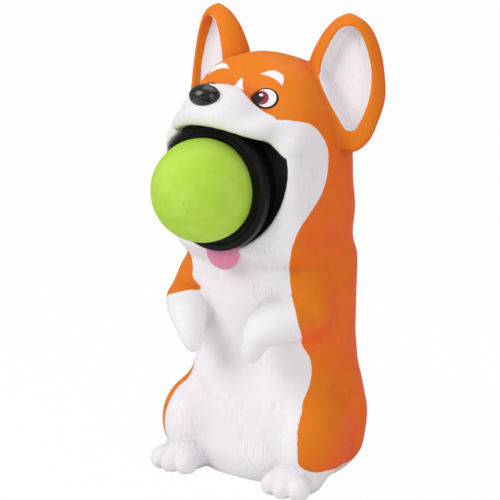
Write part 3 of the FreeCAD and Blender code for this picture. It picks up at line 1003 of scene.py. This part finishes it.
# The foam ball: a little under its size, with a slight wave
foam_gap = 0.06
foam_wave = 0.012
foam_waves = (
    ((9.0, 4.0, 7.0), 0.3), ((-6.0, 11.0, 5.0), 1.7),
    ((12.0, -8.0, 9.0), 2.9), ((5.0, 13.0, -12.0), 4.1),
)

# The lining: rows from barrel to lips, how steeply it rises, and how far it reaches into the skin
lining_rows = 16
lining_steepness = 2.4
lining_reach = 1.03
lining_sink = 2.2
lining_lift = 0.5
lining_overlap = 0.2


def cut_planes(obj, planes):
    """Adds edges along planes, given as a point and a normal in millimetres."""
    mesh = bmesh.new()
    mesh.from_mesh(obj.data)
    for point, normal in planes:
        bmesh.ops.bisect_plane(
            mesh,
            geom=mesh.verts[:] + mesh.edges[:] + mesh.faces[:],
            dist=cut_tolerance,
            plane_co=[c * MM for c in point],
            plane_no=normal,
        )
    mesh.to_mesh(obj.data)
    mesh.free()


def mesh_arrays(obj):
    co = np.empty(len(obj.data.vertices) * 3)
    obj.data.vertices.foreach_get("co", co)
    return co.reshape(-1, 3) / MM, [tuple(p.vertices) for p in obj.data.polygons]


def part_of(name, points, faces, keep):
    """A new object of the faces that are kept, with the field's normals and the paint."""
    kept = [f for f, k in zip(faces, keep) if k]
    used = np.unique(np.concatenate([np.array(f) for f in kept]))
    renumber = np.full(len(points), -1)
    renumber[used] = np.arange(len(used))
    p = points[used]
    normals = unit(gradient(skin, p, normal_reach))
    obj = new_mesh(name, p, [[int(renumber[v]) for v in f] for f in kept], normals)
    for attribute, value_at in skin_attributes.items():
        add_attribute(obj, attribute, value_at(p))
    return obj


def make_figure(material):
    """Head, torso and the two flanks, cut from one skin so that their seams don't show."""
    points, quads = surface_net(skin, figure_low, figure_high, skin_step)
    points = settle(skin, points)
    whole = new_mesh("whole", points, quads)
    cy, cz = flank_centre
    hy, hz = flank_half
    planes = [((0, 0, neck_height), (0, 0, 1))]
    planes += [((0, y, 0), (0, 1, 0)) for y in (cy - hy, cy + hy)]
    planes += [((0, 0, z), (0, 0, 1)) for z in (cz - hz, cz + hz)]
    planes += [((0, cy, cz), (0, hz, rise)) for rise in (hy, -hy)]
    cut_planes(whole, planes)
    points, faces = mesh_arrays(whole)
    bpy.data.objects.remove(whole)
    centres = np.array([points[list(f)].mean(0) for f in faces])
    x, y, z = centres.T
    head = z > neck_height
    ry = (y - cy) / hy
    rz = (z - cz) / hz
    window = (np.abs(x) > flank_inner_x) & (np.abs(ry) < 1) & (np.abs(rz) < 1) & ~head

    give(part_of("head_skin", points, faces, head), material, "root", "orange_skin",
         "crown_skin", "muzzle_skin", "left_ear", "right_ear", "left_ear_lining", "right_ear_lining")
    give(part_of("torso_skin", points, faces, ~head & ~window), material, "root", "white_skin",
         "belly_skin", "back_skin", "left_arm", "right_arm", "left_foot", "right_foot")

    # Each flank is four sectors of the window, split along its diagonals
    along = np.abs(ry) >= np.abs(rz)
    sectors = {
        "front": ((ry < 0) & along, (0, cy - hy, cz)),
        "rear": ((ry >= 0) & along, (0, cy + hy, cz)),
        "lower": ((rz < 0) & ~along, (0, cy, cz - hz)),
        "upper": ((rz >= 0) & ~along, (0, cy, cz + hz)),
    }
    for side, sign in (("left", 1), ("right", -1)):
        for sector, (chosen, start) in sectors.items():
            kept = window & chosen & (x * sign > 0)
            piece = part_of(f"{side}_flank_{sector}", points, faces, kept)
            give(piece, material, None, "orange_skin", f"{side}_flank")
            [c * MM for c in start]
            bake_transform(piece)


def march(field, origin, way, rounds=40):
    """Follows rays onto the field's surface."""
    p = origin.copy()
    for _ in range(rounds):
        p = p + way * (field(*p.T) * 0.8)[:, None]
    return p


def head_frame(aim, side, roll):
    """The skin point at the aim, its outward normal, and the across and up directions there."""
    p = settle(whole_head, np.array([[aim[0] * side, aim[1], aim[2]]]), 12)
    out = unit(gradient(whole_head, p, 1.5))[0]
    across = unit(np.cross((0.0, 0.0, 1.0), out))
    upward = np.cross(out, across)
    c, s = math.cos(roll), math.sin(roll)
    return p[0], out, across * c + upward * s, upward * c - across * s


def on_head(aim, side, plane, lift, roll):
    """Points over the head's skin: plane coordinates in millimetres, raised by lift."""
    origin, out, across, upward = head_frame(aim, side, roll)
    start = origin + plane[:, :1] * across + plane[:, 1:2] * upward + out * brow_start
    p = march(whole_head, start, np.tile(-out, (len(plane), 1)))
    return p + unit(gradient(whole_head, p, 0.4)) * lift[:, None]


def make_eye(side, material):
    """A thin oval bead, printed on the head along the way that the eye faces."""
    share = np.concatenate([np.linspace(0, 1, eye_rings), [eye_rim_share]])
    turn = np.arange(eye_spokes) / eye_spokes * 2 * math.pi
    s, t = (g.ravel() for g in np.meshgrid(share, turn, indexing="ij"))
    plane = np.stack([eye_radii[0] * s * np.cos(t), eye_radii[1] * s * np.sin(t)], 1)
    lift = eye_lift + eye_dome * np.sqrt(np.clip(1 - s**2, 0, 1))
    lift[s > 1] = eye_rim_sink
    mirror = np.array((side, 1.0, 1.0))
    out = unit(np.array(eye_facing)) * mirror
    across = unit(np.cross((0.0, 0.0, 1.0), out))
    upward = np.cross(out, across)
    start = np.array(eye_place) * mirror + out * eye_start
    start = start + plane[:, :1] * across + plane[:, 1:] * upward
    points = march(whole_head, start, np.tile(-out, (len(plane), 1)))
    points = points + unit(gradient(whole_head, points, 0.8)) * lift[:, None]
    name = "left_eye" if side > 0 else "right_eye"
    obj = new_mesh(name + "_bead", points, grid_faces(eye_rings + 1, eye_spokes, True))
    add_attribute(obj, "plane", np.concatenate([plane, np.zeros((len(plane), 1))], 1))
    give(obj, material, "root", "eye_print", name)


def make_brow(side, material):
    """A half moon: a long low edge and a high round one, blunt at its outer end."""
    u = np.linspace(-1, 1, brow_columns)
    v = np.linspace(-1, 1, brow_rows)
    gu, gv = (g.ravel() for g in np.meshgrid(u, v, indexing="ij"))
    round_off = np.sqrt(np.clip(1 - gu**2, 0, 1))
    arch = 1 - np.abs(gu) ** np.where(gu < 0, brow_inner_end, brow_outer_end)
    low = brow_low * round_off**2
    high = brow_high * arch
    y = low + (high - low) * (gv + 1) / 2 - brow_drop
    plane = np.stack([brow_half_length * gu * side, y], 1)
    lift = brow_thickness * np.sqrt(np.clip(1 - gv**2, 0, 1) * round_off) - brow_sink
    aim = brow_aim if side > 0 else right_brow_aim
    points = on_head(aim, side, plane, lift, brow_roll * side)
    faces = grid_faces(brow_columns, brow_rows, False)
    if side > 0:
        faces = faces[:, ::-1]
    name = "left_brow" if side > 0 else "right_brow"
    give(new_mesh(name + "_moon", points, faces), material, "root", "white_skin", name)


def rounded_mesh(name, field, centre, radii, step):
    """A mesh of a field that lies within an oval's box."""
    low = [c - r - 1 for c, r in zip(centre, radii)]
    high = [c + r + 1 for c, r in zip(centre, radii)]
    points, quads = surface_net(field, low, high, step)
    return new_mesh(name, settle(field, points), quads)


def make_nose(material):
    """A button with two nostrils."""

    def field(x, y, z):
        d = ellipsoid(x, y, z, nose_centre, nose_radii)
        ax = np.abs(x)
        pit, tail = (
            ellipsoid(ax, y, z, [c + o for c, o in zip(nose_centre, offset)], radii)
            for offset, radii in (nostril_pit, nostril_tail)
        )
        return carve(d, union(pit, tail, 0.8), 0.7)

    obj = rounded_mesh("nose_button", field, nose_centre, nose_radii, nose_step)
    give(obj, material, "root", "nose_black", "nose")


def make_tongue(material):
    """A pad that hangs over the chin, cut back from the ring."""

    def field(x, y, z):
        d = ellipsoid(x, y, z, tongue_centre, tongue_radii)
        groove = np.hypot(x, (y - groove_y) * groove_flatness) - groove_radius
        ring = np.hypot(x, z - mouth_height) - barrel_outer_radius - tongue_gap
        return carve(carve(d, groove, 1.5), ring, 0.4)

    obj = rounded_mesh("tongue_pad", field, tongue_centre, tongue_radii, tongue_step)
    give(obj, material, "root", "tongue_pink", "tongue")


def lathe(name, profile, spokes=192):
    """A ring turned about the mouth's axis from (radius, y) points."""
    profile = np.array(profile)
    turn = np.arange(spokes) / spokes * 2 * math.pi
    r, a = np.meshgrid(profile[:, 0], turn, indexing="ij")
    y = np.repeat(profile[:, 1], spokes)
    points = np.stack([(r * np.cos(a)).ravel(), y, mouth_height + (r * np.sin(a)).ravel()], 1)
    return new_mesh(name, points, grid_faces(len(profile), spokes, True))


def closed_profile(points, round_points=5):
    """A closed outline with rounded corners, from (radius, y, corner radius) points."""
    out = []
    n = len(points)
    for i in range(n):
        p = np.array(points[i][:2])
        corner = points[i][2]
        a = np.array(points[i - 1][:2]) - p
        b = np.array(points[(i + 1) % n][:2]) - p
        la, lb = np.linalg.norm(a), np.linalg.norm(b)
        reach = min(corner, 0.49 * la, 0.49 * lb)
        first, last = p + a / la * reach, p + b / lb * reach
        for t in np.linspace(0, 1, round_points):
            out.append((1 - t) ** 2 * first + 2 * t * (1 - t) * p + t**2 * last)
    out.append(out[0])
    return out


def make_mouth_hardware(hard_material, lip_material):
    """The ring's rim with its fine groove, and the soft lip inside it."""
    f = mouth_front
    outer, inner = rim_outer_radius, barrel_outer_radius + 0.1
    rim = closed_profile((
        (outer, f + rim_depth, 0.4), (outer, f + 1.0, 0.5), (outer - 0.5, f + 0.4, 0.3),
        (outer - 0.9, f + 0.65, 0.2), (outer - 1.3, f + 0.1, 0.4),
        (inner, f, 0.3), (inner, f + rim_depth, 0.3),
    ))
    give(lathe("muzzle_ring", rim), hard_material, "root", "black_hard", "muzzle_rim")
    outer, inner = barrel_outer_radius, lip_radius
    lip = closed_profile((
        (outer, f, 0.4), (outer - 0.8, f + 0.35, 0.4), (inner + 0.7, f + 0.15, 0.6),
        (inner, f + 0.5, 0.5), (inner + 0.15, f + lip_depth, 0.4), (outer, f + lip_depth, 0.3),
    ))
    give(lathe("soft_lip", lip), lip_material, "root", "lip_rubber", "grip_lip")


def make_lining(material):
    """The black bowl between the barrel and the lips."""
    outline = closed_arcs(mouth_outline)
    count = len(outline)
    beside, far_ahead = 1.02, -90.0
    ahead = np.stack([outline[:, 0], np.full(count, far_ahead), outline[:, 1]], 1)
    ahead = ahead * (beside, 1.0, beside) + (0.0, 0.0, mouth_height)
    skin_front = march(whole_head, ahead, np.tile((0.0, 1.0, 0.0), (count, 1)), 60)[:, 1]
    inner = unit(outline) * (barrel_outer_radius - lining_overlap)
    points = []
    for t in np.linspace(0, 1, lining_rows):
        flat = inner * (1 - t) + outline * lining_reach * t
        rise = t**lining_steepness
        y = (cup_floor + lining_lift) * (1 - rise) + (skin_front + lining_sink) * rise
        points.append(np.stack([flat[:, 0], y, flat[:, 1] + mouth_height], 1))
    obj = new_mesh("mouth_lining", np.concatenate(points), grid_faces(lining_rows, count, True))
    give(obj, material, "root", "black_lining", "mouth_cup")


def make_ball(material):
    """The foam ball, where the frame has it."""
    low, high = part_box("foam_ball")
    centre = (low + high) / 2
    mesh = bmesh.new()
    bmesh.ops.create_icosphere(mesh, subdivisions=ball_subdivisions, radius=1.0)
    data = bpy.data.meshes.new("ball_foam")
    mesh.to_mesh(data)
    mesh.free()
    co = np.empty(len(data.vertices) * 3)
    data.vertices.foreach_get("co", co)
    n = unit(co.reshape(-1, 3))
    wave = sum(np.sin(n @ np.array(way) + phase) for way, phase in foam_waves)
    radius = ball_radius - foam_gap + foam_wave * wave
    data.vertices.foreach_set("co", (n * radius[:, None] * MM + np.array(centre)).ravel())
    data.polygons.foreach_set("use_smooth", np.ones(len(data.polygons), bool))
    give(add_object("foam_ball_skin", data), material, "ball", "ball_foam", "foam_ball")


# The whole scene

make_camera()
make_stage()
make_figure(painted_skin())
eye_material = printed_eye()
brow_material = soft_paint("brow_white", (232, 228, 230), (240, 237, 239), 0.2, 1800.0, 0.55, 0.35)
for side in (1, -1):
    make_eye(side, eye_material)
    make_brow(side, brow_material)
make_nose(black_material("nose_black", 0.18, 0.6, (12, 12, 13)))
make_tongue(soft_paint("tongue_pink", (213, 122, 158), (226, 138, 172), 0.25, 1600.0, 0.5, 0.4))
hard = black_material("black_hard", 0.3, 0.14, (10, 9, 10))
make_mouth_hardware(hard, black_material("lip_rubber", 0.45, 0.14, (9, 8, 9)))
make_lining(black_material("black_lining", 0.4, 0.4, (34, 30, 32), 0.000008))
make_ball(foam_green())
for node in ("barrel", "ball_stop"):
    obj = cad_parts[node]
    obj.data.materials.clear()
    obj.data.materials.append(hard)

bpy.context.scene.view_settings.view_transform = "Standard"
